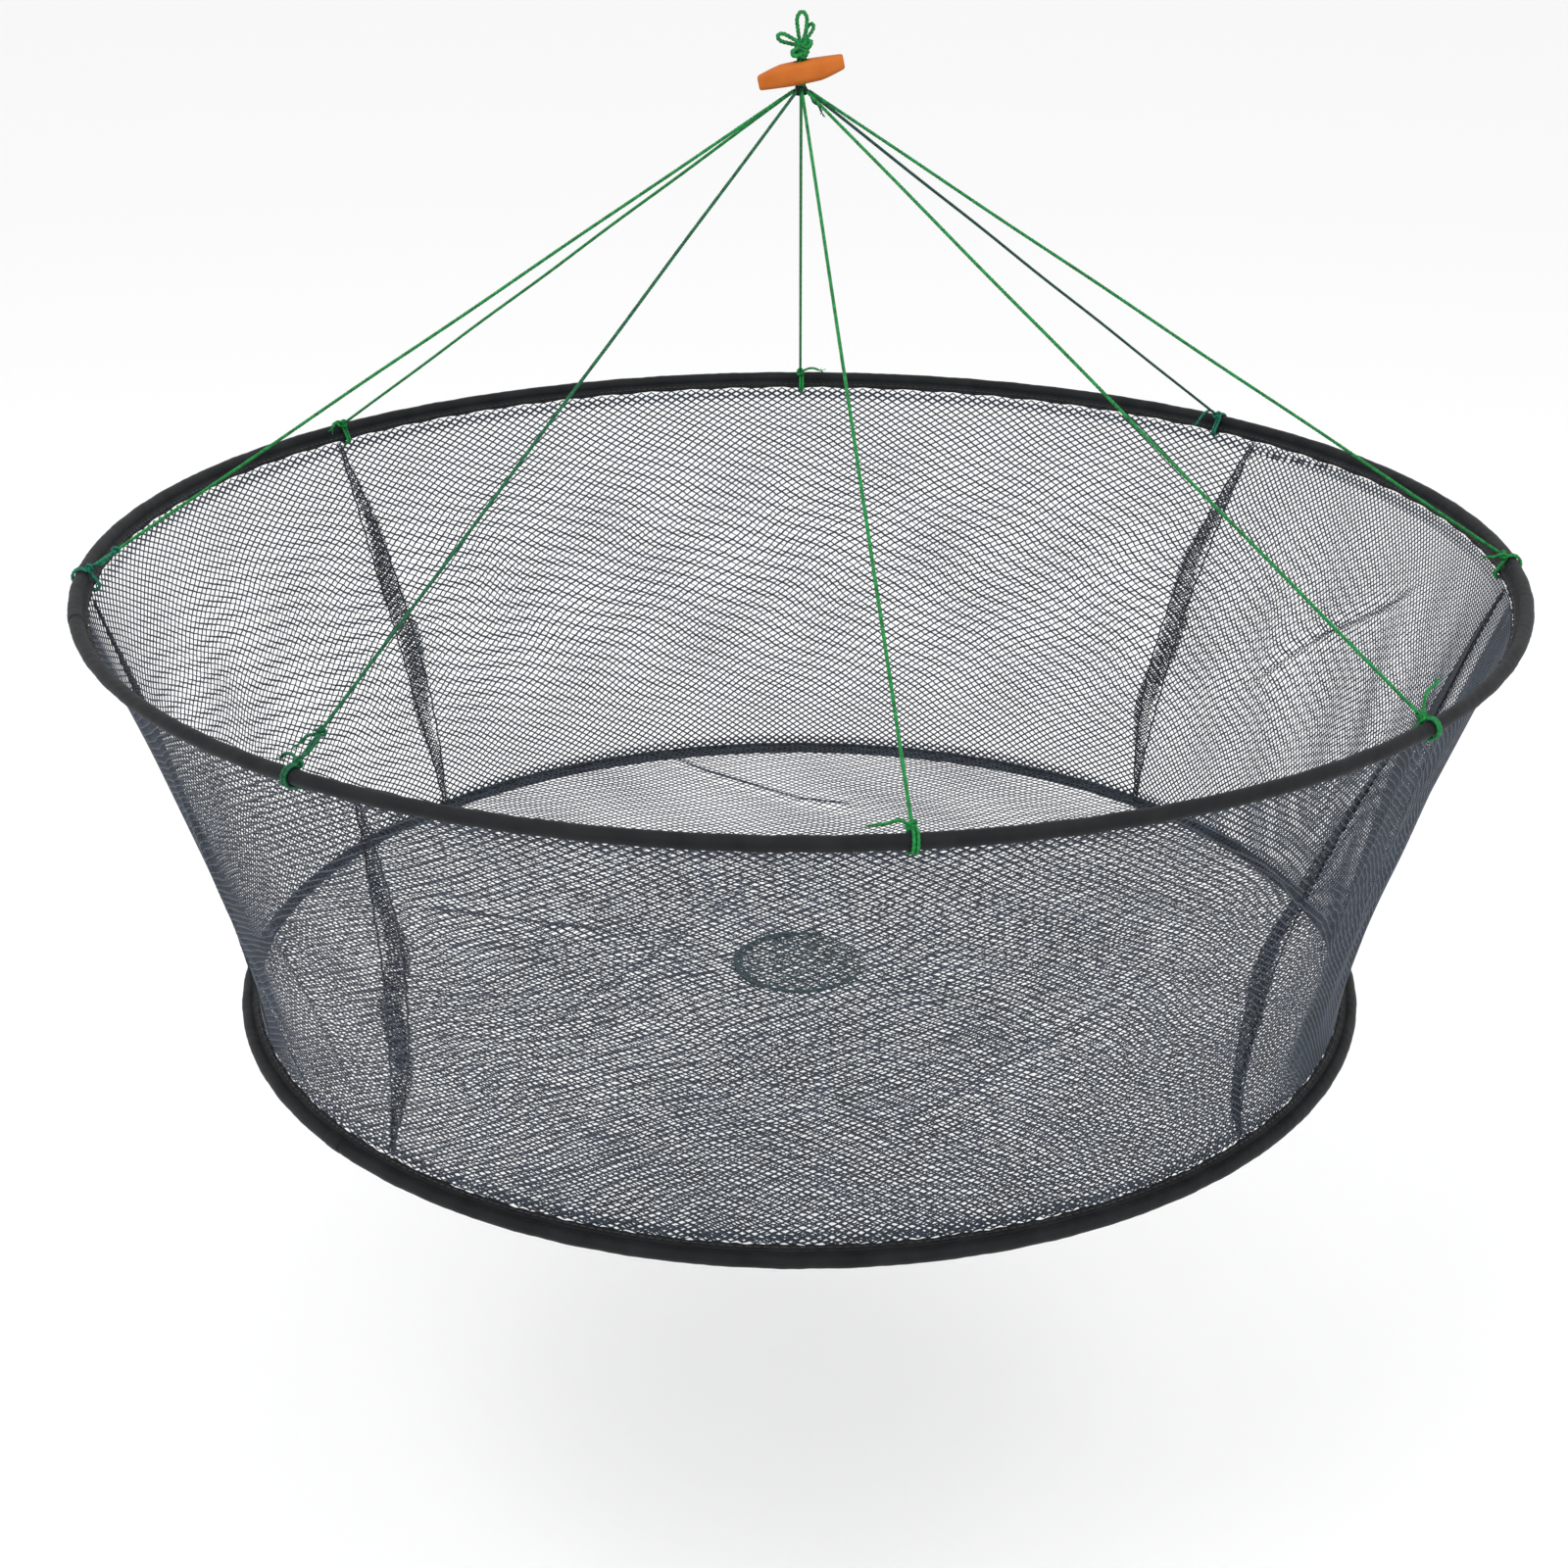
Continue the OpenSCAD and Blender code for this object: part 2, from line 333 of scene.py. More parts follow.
def make_bridle():
    """Eight taut cords, each from the gather under the float to its rim knot."""
    # The last cord, at the back right, takes the darker green as painted shade.
    shades = [GREEN, GREEN, GREEN, DEEP_GREEN, GREEN, GREEN, GREEN, SHADED_BLUE_GREEN]
    for i, a in enumerate(KNOT_AZ):
        start, end = cord_ends(a)
        length = float(np.linalg.norm(end - start))
        steps = np.linspace(0, 1, 420)[:, None]
        path = start + (end - start) * steps
        wave = 0.25 * MM * np.sin(steps[:, 0] * length / (23 * MM) + i)
        path[:, 2] += wave * np.sin(math.pi * steps[:, 0])
        cord = mesh_object(f"bridle_cord_{i + 1}_laid", *tube(path, CORD_R))
        set_material(cord, shades[i])
        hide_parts(f"bridle_cord_{i + 1}")
        tuple(start)
        tuple(end)
        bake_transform(cord)
        tuple(start)
        [tuple(p) for p in path]


make_camera()
make_bridle()
make_studio()


# ---- netting ----

def lattice(us, vs, keep, place, width, thread_t):
    """Diamond netting over a grid of half cells.

    us and vs give the range of half cells across and along. Knots sit where u + v is even,
    and each hole is the diamond round a point where u + v is odd. keep says which holes
    exist, place turns (u, v, lift) into a point, width gives the thread's width at (u, v),
    and every thread has a closed lozenge section."""
    u, v = np.meshgrid(np.arange(us[0], us[1] + 1), np.arange(vs[0], vs[1] + 1), indexing="ij")
    hole = ((u + v) % 2 != 0) & keep(u, v)
    hu, hv = u[hole].astype(float), v[hole].astype(float)
    flat = np.zeros(len(hu))
    across = np.linalg.norm(place(hu + 1, hv, flat) - place(hu - 1, hv, flat), axis=1)
    along = np.linalg.norm(place(hu, hv + 1, flat) - place(hu, hv - 1, flat), axis=1)
    room = across * along / np.hypot(across, along)
    open_share = np.clip(1 - width(hu, hv) / room, 0.12, 0.95)
    steps = [(1, 0), (0, 1), (-1, 0), (0, -1)]
    corners = np.stack([np.stack([hu + du, hv + dv], -1) for du, dv in steps], 1)
    knots, index = np.unique(corners.reshape(-1, 2), axis=0, return_inverse=True)
    index = index.reshape(-1, 4)
    lift = np.full(len(knots), thread_t / 2)
    front = place(knots[:, 0], knots[:, 1], lift)
    back = place(knots[:, 0], knots[:, 1], -lift)
    edge = np.stack([place(hu + du * open_share, hv + dv * open_share, flat)
                     for du, dv in steps], 1).reshape(-1, 3)
    inner = 2 * len(knots) + np.arange(len(hu) * 4).reshape(-1, 4)
    quads = []
    for k in range(4):
        n = (k + 1) % 4
        quads.append(np.stack([index[:, k], index[:, n], inner[:, n], inner[:, k]], -1))
        quads.append(np.stack([len(knots) + index[:, n], len(knots) + index[:, k],
                               inner[:, k], inner[:, n]], -1))
    return np.concatenate([front, back, edge]), np.concatenate(quads)


def stray(u, v, seed):
    """How far hand-hung netting strays from a true grid, in half cells: across, along and off."""
    p = 1.7 * seed
    across = (1.1 * np.sin(0.061 * u + 0.13 * v + p) + 0.6 * np.sin(0.19 * u - 0.083 * v + 2.1 * p)
              + 0.13 * np.sin(2.3 * u + 1.1 * v + p))
    along = (1.2 * np.sin(0.083 * u - 0.047 * v + 1.3 * p) + 0.5 * np.sin(0.23 * u + 0.15 * v + p)
             + 0.13 * np.sin(1.9 * v - 2.6 * u + p))
    off = np.sin(0.11 * u + 0.034 * v + 2.6 * p) + 0.5 * np.sin(0.29 * u - 0.06 * v + p)
    return across, along, off


def net_material(name, low, high):
    """Blue-black twisted nylon: matt, with a faint sheen and uneven depth of colour."""
    mat, nodes, links, shader = new_material(name, high, 0.62)
    shader.inputs["Specular IOR Level"].default_value = 0.4
    shader.inputs["Sheen Weight"].default_value = 0.15
    noise = add_noise(nodes, links, 60)
    color_between(nodes, links, shader, noise.outputs["Fac"], low, high)
    fibre = add_noise(nodes, links, 2600)
    add_bump(nodes, links, shader, fibre.outputs["Fac"], 0.1 * MM)
    return mat


NET = net_material("net_thread", (0.006, 0.013, 0.024), (0.018, 0.033, 0.060))
NET_DOUBLE = net_material("net_thread_doubled", (0.004, 0.009, 0.016), (0.011, 0.021, 0.034))
NET_TEAL = net_material("net_thread_teal", (0.004, 0.022, 0.024), (0.012, 0.052, 0.055))

# Half meshes round the wall, counted at a radius of 355 mm
HALF_CELLS = 2 * math.pi * 355 * MM / (CELL_W / 2)
WALL_ROWS = 122
# The meshes are squeezed on one side of the hoops and wider opposite, by amounts tuned to how
# dark the photo's net is there: azimuth, half width in radians and extra meshes at the middle
GATHERS = [(math.radians(366), 0.75, 0.80), (math.radians(208), 0.60, -0.28)]
ROUND = np.radians(np.linspace(15, 435, 4201))
ROUND_CELLS = HALF_CELLS / (2 * math.pi) * (
    ROUND + sum(extra * wide * np.tanh((ROUND - at) / wide) for at, wide, extra in GATHERS))


def cells_at(azimuth):
    return np.interp(azimuth, ROUND, ROUND_CELLS)


def azimuth_at(cells):
    return np.interp(cells, ROUND_CELLS, ROUND)


# Each crease in the wall runs between two points (azimuth in degrees, height share)
WALL_CREASES = [((220, 0.52), (225, 0.12)), ((203, 0.28), (216, 0.00)), ((214, 0.92), (205, 0.30)),
                ((322, 1.05), (330, 0.42)), ((319, 0.95), (322, 0.45)), ((334, 0.62), (338, 0.05)),
                ((371, 0.84), (390, 0.45)), ((388, 1.00), (399, 0.97)), ((343, 1.05), (341, 0.35)),
                ((296, 0.95), (312, 0.68)), ((349, 1.02), (352, 0.40))]
CREASE_W = 0.017
CREASE_PULL = 0.66
CREASE_STAND = 1.6 * MM
WALL_RELIEF = 1.0 * MM
SELVEDGE_ROWS = 4


def faded(share, steep, start):
    """One along a crease, and nothing past its ends."""
    return 1 / (1 + np.exp(np.abs(share - 0.5) * steep - start))


def crease(azimuth, s):
    """How far the creases draw the net round, and how far they stand off the wall."""
    pull, stand = np.zeros_like(azimuth), np.zeros_like(azimuth)
    for (a1, s1), (a2, s2) in WALL_CREASES:
        share = (s - s1) / (s2 - s1)
        line = np.radians(a1 + (a2 - a1) * share)
        fade = faded(share, 18, 8.5)
        q = (azimuth - line) / CREASE_W
        bell = np.exp(-q * q / 2) * fade
        pull -= CREASE_W * CREASE_PULL * q * bell
        stand += bell
    return pull, stand


def wall_radius(s):
    """The wall's radius at a height share from the bottom."""
    return NET_BOTTOM_R + (NET_TOP_R - NET_BOTTOM_R) * np.clip(s, 0, 1) ** WALL_BOW


def wall_point(a, s, lift):
    """A point of the wall: azimuth, height share from the bottom, distance off the net."""
    r = wall_radius(s) + lift
    z = NET_BOTTOM_Z + (NET_TOP_Z - NET_BOTTOM_Z) * s
    return np.stack([r * np.cos(a), r * np.sin(a), z], -1)


def wall_place(seed, off=0.0):
    """Where the wall's netting goes, with its own straying and the wall's creases."""
    def place(u, v, lift):
        s = v / WALL_ROWS
        free = np.sin(math.pi * np.clip(s, 0, 1))
        across, along, relief = stray(u, v, seed)
        a = azimuth_at(u + across * free)
        pull, stand = crease(a, s)
        bulge = WALL_RELIEF * relief * free + CREASE_STAND * stand * free
        return wall_point(a + pull, s + along * free / WALL_ROWS, lift + off + bulge)
    return place


def wall_width(u, v):
    """The thread, thicker in the knotted rows along each hoop."""
    rows = np.minimum(v, WALL_ROWS - v)
    return np.where(rows < SELVEDGE_ROWS, SELVEDGE_W, THREAD_W)


# How far each seam strays round the wall, in degrees: at the bottom, the middle and the top
SEAM_STRAYS = [(-1.1, -1.3, -5.0), (-0.9, -0.2, 1.0), (16.0, 9.0, 3.0),
               (-6.5, 0.8, 4.5), (-1.5, -6.0, -2.3), (-1.5, -1.5, -4.0)]


def seam_azimuth(i, s):
    """Where a seam runs at a height share; the one after the last is the first again."""
    if i == len(SEAM_AZ):
        return seam_azimuth(0, s) + 2 * math.pi
    bottom, middle, top = SEAM_STRAYS[i]
    strays = bottom * (1 - s) * (1 - 2 * s) + middle * 4 * s * (1 - s) + top * s * (2 * s - 1)
    return SEAM_AZ[i] + np.radians(strays)


def lens(s):
    """How wide a doubled band is at a height share, beside its widest."""
    return np.clip(4.5 * s * (1 - s), 0.18, 1)


def seam_half_turn(s):
    """Half the turn that the lens-shaped doubled band takes at a height share."""
    return SEAM_W / 2 / wall_radius(s) * lens(s)


def between_seams(i):
    """A test for the holes that lie between a seam and the next."""
    def keep(u, v):
        s, a = v / WALL_ROWS, azimuth_at(u)
        return (a > seam_azimuth(i, s)) & (a < seam_azimuth(i + 1, s)) & (v > 0) & (v < WALL_ROWS)
    return keep


DOUBLED_THREAD_W = 0.85 * THREAD_W
DOUBLED_OFF = -1.2 * MM


def doubled_band(i):
    """Two layers of net that lie on each other half a mesh apart, seen as one net twice as fine."""
    whole = wall_place(i + 1, DOUBLED_OFF)

    def place(u, v, lift):
        return whole(u / 2, v / 2, lift)

    def keep(u, v):
        s, a = v / 2 / WALL_ROWS, azimuth_at(u / 2)
        near = np.abs(a - seam_azimuth(i, s)) < seam_half_turn(s)
        return near & (v > 0) & (v < 2 * WALL_ROWS)

    def width(u, v):
        return np.full(len(u), DOUBLED_THREAD_W)

    reach = 0.4
    us = int(2 * cells_at(SEAM_AZ[i] - reach)), int(2 * cells_at(SEAM_AZ[i] + reach))
    return lattice(us, (0, 2 * WALL_ROWS), keep, place, width, THREAD_T)


def seam_edge(i, side):
    """The sewn edge of a doubled band: a thread that winds down beside it."""
    s = np.linspace(0.01, 0.99, 220)
    a = seam_azimuth(i, s) + side * seam_half_turn(s) + 0.0012 * np.sin(s * 95 + i)
    pull, stand = crease(a, s)
    path = wall_point(a + pull, s, CREASE_STAND * stand * np.sin(math.pi * s) - 0.6 * MM)
    return tube(path, 0.55 * MM, sides=8, strands=2, pitch=3 * MM)


HEIGHT_SHARES = np.linspace(0, 1, 101)


def cut_width(i):
    """A panel's mean width between its seams' courses, which were traced from the photo."""
    s = HEIGHT_SHARES
    return float(np.mean((seam_azimuth(i + 1, s) - seam_azimuth(i, s)) * wall_radius(s)))


def hang_on_wall(obj, mat, node):
    set_material(obj, mat)
    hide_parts(node)
    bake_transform(obj)


def make_walls():
    """Six panels of netting, and the six doubled bands where they are sewn together."""
    height = math.hypot(NET_TOP_Z - NET_BOTTOM_Z, NET_TOP_R - NET_BOTTOM_R)
    reach = 0.35
    ends = SEAM_AZ[1:] + [SEAM_AZ[0] + 2 * math.pi]
    for i, (a0, a1) in enumerate(zip(SEAM_AZ, ends)):
        us = int(cells_at(a0 - reach)), int(cells_at(a1 + reach))
        verts, quads = lattice(us, (0, WALL_ROWS), between_seams(i), wall_place(i + 1),
                               wall_width, THREAD_T)
        panel = mesh_object(f"wall_panel_{i + 1}_net", verts, quads)
        cut = cut_width(i), height
        hang_on_wall(panel, NET, f"wall_panel_{i + 1}")
    for i in range(len(SEAM_AZ)):
        edges = [seam_edge(i, side) for side in (-1, 1)]
        band = mesh_object(f"wall_seam_{i + 1}_net", *merged([doubled_band(i)] + edges))
        cut = 2 * SEAM_W, height
        hang_on_wall(band, NET_DOUBLE, f"wall_seam_{i + 1}")


# Creases in the floor net: each runs between two points of the floor, in millimetres
FLOOR_CREASES = [((-150, -97), (-18, 130)), ((-115, 318), (-68, 277)), ((-68, 277), (1, 234)),
                 ((1, 234), (34, 226)), ((60, -190), (180, -60)), ((-230, 60), (-120, 40))]
FLOOR_CREASE_PULL = 0.85
FLOOR_CREASE_STAND = 1.2 * MM
FLOOR_RELIEF = 0.5 * MM
FLOOR_SAG = 12 * MM
FLOOR_RIM = 7 * MM


def floor_crease(x, y):
    """How far the creases draw the floor net sideways, and how far they stand up from it."""
    wide = 4.5 * MM
    pull_x, pull_y, stand = np.zeros_like(x), np.zeros_like(x), np.zeros_like(x)
    for (x1, y1), (x2, y2) in FLOOR_CREASES:
        dx, dy = (x2 - x1) * MM, (y2 - y1) * MM
        length = math.hypot(dx, dy)
        dx, dy = dx / length, dy / length
        share = ((x - x1 * MM) * dx + (y - y1 * MM) * dy) / length
        off = (y - y1 * MM) * dx - (x - x1 * MM) * dy
        fade = faded(share, 20, 10)
        bell = np.exp(-(off / wide) ** 2 / 2) * fade
        pull_x += FLOOR_CREASE_PULL * off * bell * dy
        pull_y -= FLOOR_CREASE_PULL * off * bell * dx
        stand += bell
    return pull_x, pull_y, stand


FLOOR_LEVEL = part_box("floor_net")[0].z + 0.5 * MM


def floor_sag(x, y):
    """How far the hanging floor net sags below its rim."""
    return FLOOR_SAG * np.clip(1 - (x * x + y * y) / NET_BOTTOM_R ** 2, 0, 1)


def floor_place(u, v, lift):
    """Where the floor's netting goes, with its straying, creases and sag."""
    across, along, relief = stray(u, v, 30)
    x, y = (u + across) * CELL_W / 2, (v + along) * CELL_H / 2
    pull_x, pull_y, stand = floor_crease(x, y)
    free = np.clip(1 - np.hypot(x, y) / NET_BOTTOM_R, 0, 0.5)
    rise = FLOOR_RELIEF * relief * free + FLOOR_CREASE_STAND * stand
    level = FLOOR_LEVEL - floor_sag(x, y)
    return np.stack([x + pull_x, y + pull_y, level + lift + rise], -1)


def make_floor_net():
    """The floor's netting, in a left and a right half that meet at the middle."""
    radius = NET_BOTTOM_R - 1 * MM
    nu, nv = int(radius / CELL_W * 2) + 6, int(radius / CELL_H * 2) + 6

    def width(u, v):
        rim = np.hypot(u * CELL_W / 2, v * CELL_H / 2) > radius - FLOOR_RIM
        return np.where(rim, SELVEDGE_W, THREAD_W)

    for name, first, last in (("left", -nu, -1), ("right", 0, nu)):
        def inside(u, v):
            at = floor_place(u.astype(float), v.astype(float), 0.0)
            return (np.hypot(at[..., 0], at[..., 1]) < radius) & (u >= first) & (u <= last)

        verts, quads = lattice((first, last), (-nv, nv), inside, floor_place, width, THREAD_T)
        half = mesh_object(f"floor_net_{name}_half", verts, quads)
        set_material(half, NET)
        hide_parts("floor_net")
        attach(half, "bottom_hoop")


def make_centre_patch():
    """A second, finer net laid slantwise on the floor's middle, with a dark sewn edge."""
    cell_w, cell_h, slant = 5.6 * MM, 4.0 * MM, math.radians(24)
    thread_w, thread_t, hem_r = 0.7 * MM, 0.6 * MM, 0.8 * MM
    above_floor = 1.5 * MM
    level = FLOOR_LEVEL - FLOOR_SAG + above_floor

    def place(u, v, lift):
        across, along, relief = stray(u, v, 41)
        x, y = (u + 0.7 * across) * cell_w / 2, (v + 0.7 * along) * cell_h / 2
        rise = FLOOR_LEVEL + above_floor - floor_sag(x, y) + lift + 0.3 * MM * relief
        return np.stack([x * math.cos(slant) - y * math.sin(slant),
                         x * math.sin(slant) + y * math.cos(slant), rise], -1)

    def inside(u, v):
        at = place(u.astype(float), v.astype(float), 0.0)
        turn = np.arctan2(at[..., 1], at[..., 0])
        ragged = 2.5 * MM * np.sin(9 * turn) * np.clip(np.cos(turn - 0.4), 0, 1)
        return np.hypot(at[..., 0], at[..., 1]) < PATCH_R - 1.5 * MM - np.abs(ragged)

    def width(u, v):
        return np.full(len(u), thread_w)

    n = int(PATCH_R / cell_h * 2) + 4
    parts = [lattice((-n, n), (-n, n), inside, place, width, thread_t)]
    for start, stop, inset in ((70, 345, 1.2), (72, 330, 2.2), (95, 215, 5.0)):
        turn = np.radians(np.linspace(start, stop, 300))
        r = PATCH_R - inset * MM + 0.5 * MM * np.sin(turn * 31) + 0.4 * MM * np.sin(turn * 7)
        hem = np.stack([r * np.cos(turn), r * np.sin(turn), np.full(300, level + 0.5 * MM)], -1)
        parts.append(tube(hem, hem_r, sides=8, strands=2, pitch=3 * MM))
    patch = mesh_object("centre_patch_net", *merged(parts))
    set_material(patch, NET_TEAL)
    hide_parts("centre_patch")
    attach(patch, "bottom_hoop")


make_walls()
make_floor_net()
make_centre_patch()


# ---- hoops: sleeves, stitches, wires and ferrules ----

def maths(nodes, links, operation, a, b=None):
    """A Math node on one or two values or outputs."""
    node = nodes.new("ShaderNodeMath")
    node.operation = operation
    for socket, value in zip(node.inputs, (a, b)):
        if isinstance(value, (int, float)):
            socket.default_value = value
        elif value is not None:
            links.new(value, socket)
    return node.outputs[0]


def sleeve_material(name, r, z):
    """Black plain-weave cloth: its threads run round the hoop and round the tube."""
    mat, nodes, links, shader = new_material(name, (0.01, 0.011, 0.012), 0.6)
    shader.inputs["Specular IOR Level"].default_value = 0.18
    shader.inputs["Sheen Weight"].default_value = 0.03
    shader.inputs["Sheen Roughness"].default_value = 0.35
    place = nodes.new("ShaderNodeTexCoord")
    split = nodes.new("ShaderNodeSeparateXYZ")
    links.new(place.outputs["Object"], split.inputs[0])
    x, y, height = split.outputs
    round_hoop = maths(nodes, links, "ARCTAN2", y, x)
    out = maths(nodes, links, "SQRT", maths(nodes, links, "ADD",
                                           maths(nodes, links, "MULTIPLY", x, x),
                                           maths(nodes, links, "MULTIPLY", y, y)))
    round_tube = maths(nodes, links, "ARCTAN2", maths(nodes, links, "SUBTRACT", height, z),
                       maths(nodes, links, "SUBTRACT", out, r))
    thread = 0.55 * MM
    warps = float(round(2 * math.pi * r / thread / 2))
    wefts = float(round(math.pi * SLEEVE_R / thread))
    warp = maths(nodes, links, "MULTIPLY", round_hoop, warps)
    weft = maths(nodes, links, "MULTIPLY", round_tube, wefts)
    weave = maths(nodes, links, "MULTIPLY", maths(nodes, links, "SINE", warp),
                  maths(nodes, links, "SINE", weft))
    add_bump(nodes, links, shader, weave, 0.12 * MM, 0.7)
    worn = add_noise(nodes, links, 55)
    color_between(nodes, links, shader, worn.outputs["Fac"], (0.003, 0.004, 0.005),
                  (0.011, 0.012, 0.014))
    return mat


def in_section(x, y, turn):
    """From a sleeve's own section, with x along its flap, to outward and up."""
    return x * math.cos(turn) - y * math.sin(turn), x * math.sin(turn) + y * math.cos(turn)


def whole_turns(r, wavelength):
    return round(2 * math.pi * r / wavelength)


def wrapped(rows, columns, reverse=False):
    """Quads of a grid that closes on itself both ways."""
    i, j = np.meshgrid(np.arange(rows), np.arange(columns), indexing="ij")
    n, k = (i + 1) % rows, (j + 1) % columns
    quads = np.stack([i * columns + j, n * columns + j, n * columns + k, i * columns + k], -1)
    return quads.reshape(-1, 4)[:, ::-1] if reverse else quads.reshape(-1, 4)


def sleeve_outline():
    """The section of tube and flap: points, and how far out along the flap each one is."""
    neck = 0.30
    tube_turn = np.linspace(neck, 2 * math.pi - neck, 24)
    tube_x, tube_y = SLEEVE_R * np.cos(tube_turn), SLEEVE_R * np.sin(tube_turn)
    flap_x = np.array([4.3, 5.2, 6.0, 6.5, 7.0, 7.8, 8.3]) * MM
    flap_y = np.array([0.70, 0.95, 0.90, 0.60, 0.90, 0.95, 0.60]) * MM
    x = np.concatenate([tube_x, flap_x, [FLAP_REACH], flap_x[::-1]])
    y = np.concatenate([tube_y, -flap_y, [0], flap_y[::-1]])
    return x, y, np.clip((x - SLEEVE_R) / (FLAP_REACH - SLEEVE_R), 0, 1)


def sleeve_mesh(r, z, turn, lap):
    """A sleeve that puckers between its stitches, with a lap where its ends overlap."""
    x, y, out = sleeve_outline()
    steps = 1500
    a = np.arange(steps)[:, None] * 2 * math.pi / steps
    slow, quick = whole_turns(r, 31 * MM), whole_turns(r, 9.5 * MM)
    section = np.arctan2(y, x)[None, :]
    gap = np.abs((a - lap + math.pi) % (2 * math.pi) - math.pi) * r
    step = 0.35 * MM * (gap < 6 * MM) - 0.3 * MM * ((gap > 6 * MM) & (gap < 8 * MM))
    swell = (0.15 * MM * np.sin(slow * a + section) * np.sin(9 * a)
             + 0.07 * MM * np.sin(quick * a - 2 * section) * np.sin(23 * a)
             + step)
    length = np.hypot(x, y)[None, :]
    px = x * (1 + swell * (1 - out) / length) + out * (0.30 * MM * np.sin(slow * a + 1)
                                                      - 0.15 * MM * np.sin(quick * a))
    py = y * (1 + swell * (1 - out) / length) + out * (0.42 * MM * np.sin(quick * a)
                                                      + 0.35 * MM * np.sin(slow * a + 2))
    across, up = in_section(px, py, turn)
    verts = np.stack([(r + across) * np.cos(a), (r + across) * np.sin(a), z + up], -1)
    bore_size, bore_sides = 2.8 * MM, 12
    bore_turn = np.arange(bore_sides)[None, :] * math.pi / (bore_sides / 2)
    bore_r = r + bore_size * np.cos(bore_turn)
    bore = np.stack([bore_r * np.cos(a), bore_r * np.sin(a),
                     z + bore_size * np.sin(bore_turn) + 0 * a], -1)
    return merged([(verts.reshape(-1, 3), wrapped(steps, len(x))),
                   (bore.reshape(-1, 3), wrapped(steps, bore_sides, reverse=True))])


def stitch_mesh(r, z, turn):
    """A row of lock stitches in the groove of the flap's upper face."""
    reach, long, pitch = 6.5 * MM, 3.6 * MM, 4.4 * MM
    ring_r = r + reach * math.cos(turn)
    count = whole_turns(ring_r, pitch)
    rings, sides = 7, 6
    t = np.linspace(-1, 1, rings)
    around = np.arange(sides) * math.pi / (sides / 2)
    thick = 0.36 * MM * np.sqrt(1.02 - t ** 2 * 0.9)
    y = -(0.62 + 0.45 * (1 - t ** 2))[:, None] * MM + thick[:, None] * np.sin(around)
    x = reach + thick[:, None] * np.cos(around)
    along = (t * long / 2)[:, None] + 0 * around
    across, up = in_section(x, y, turn)
    a = (np.arange(count) * 2 * math.pi / count)[:, None, None] + along / ring_r
    verts = np.stack([(r + across) * np.cos(a), (r + across) * np.sin(a), z + up + 0 * a], -1)
    ring, k = np.meshgrid(np.arange(rings - 1) * sides, np.arange(sides), indexing="ij")
    n = (k + 1) % sides
    side = np.stack([ring + k, ring + sides + k, ring + sides + n, ring + n], -1).reshape(-1, 4)
    end = (rings - 1) * sides
    first, last = [(0, 1, 2, 3), (0, 3, 4, 5)], [(3, 2, 1, 0), (5, 4, 3, 0)]
    one = np.concatenate([side, first, np.array(last) + end])
    each = rings * sides * np.arange(count)[:, None, None]
    return verts.reshape(-1, 3), (one[None] + each).reshape(-1, 4)


def metal_material(name, color, roughness):
    """Drawn steel: fine scratches and a little dullness in patches."""
    mat, nodes, links, shader = new_material(name, color, roughness)
    shader.inputs["Metallic"].default_value = 1.0
    patches = add_noise(nodes, links, 180)
    dull = tuple(c * 0.6 for c in color)
    color_between(nodes, links, shader, patches.outputs["Fac"], dull, color)
    scratches = add_noise(nodes, links, 2400)
    add_bump(nodes, links, shader, scratches.outputs["Fac"], 0.05 * MM)
    return mat


def make_hoops():
    """Sleeves and stitching replace the CAD ones; wires and ferrules stay, in drawn steel."""
    thread = net_material("stitching_thread", (0.008, 0.009, 0.010), (0.030, 0.032, 0.034))
    steel = metal_material("spring_steel", (0.34, 0.35, 0.37), 0.35)
    ferrule = metal_material("ferrule_metal", (0.55, 0.56, 0.58), 0.45)
    hoops = [("top", TOP_R, TOP_Z, TOP_FLAP_TURN, math.radians(197)),
             ("bottom", BOTTOM_R, BOTTOM_Z, BOTTOM_FLAP_TURN, math.radians(222))]
    for name, r, z, turn, lap in hoops:
        cloth = sleeve_material(f"sleeve_cloth_{name}", r, z)
        sleeve = mesh_object(f"{name}_hoop_sleeve_sewn", *sleeve_mesh(r, z, turn, lap))
        stitches = mesh_object(f"{name}_stitching_row", *stitch_mesh(r, z, turn))
        pieces = [(sleeve, cloth, "sleeve_fabric", f"{name}_hoop_sleeve"),
                  (stitches, thread, "stitching_thread", f"{name}_stitching")]
        for piece, mat, slot, node in pieces:
            set_material(piece, mat)
            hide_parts(node)
            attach(piece, f"{name}_hoop")
        set_material(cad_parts[f"{name}_hoop_wire"], steel)
        set_material(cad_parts[f"{name}_hoop_ferrule"], ferrule)


# ---- rim knots ----

def belt(along):
    """One turn of cord round sleeve and flap, in the hoop's section, from the knot's side."""
    big, small = SLEEVE_R + CORD_R + 0.25 * MM, 1.45 * MM + CORD_R
    lean = math.acos((big - small) / FLAP_REACH)
    turn = np.linspace(KNOT_TURN, KNOT_TURN + 2 * math.pi, 49)
    on_flap = np.abs(turn - TOP_FLAP_TURN) < lean
    r = np.where(on_flap, small, big)
    out = r * np.cos(turn) + on_flap * FLAP_REACH * math.cos(TOP_FLAP_TURN)
    up = r * np.sin(turn) + on_flap * FLAP_REACH * math.sin(TOP_FLAP_TURN)
    return np.stack([-out, along + (turn - KNOT_TURN) / (2 * math.pi) * 1.9 * MM, up], -1)


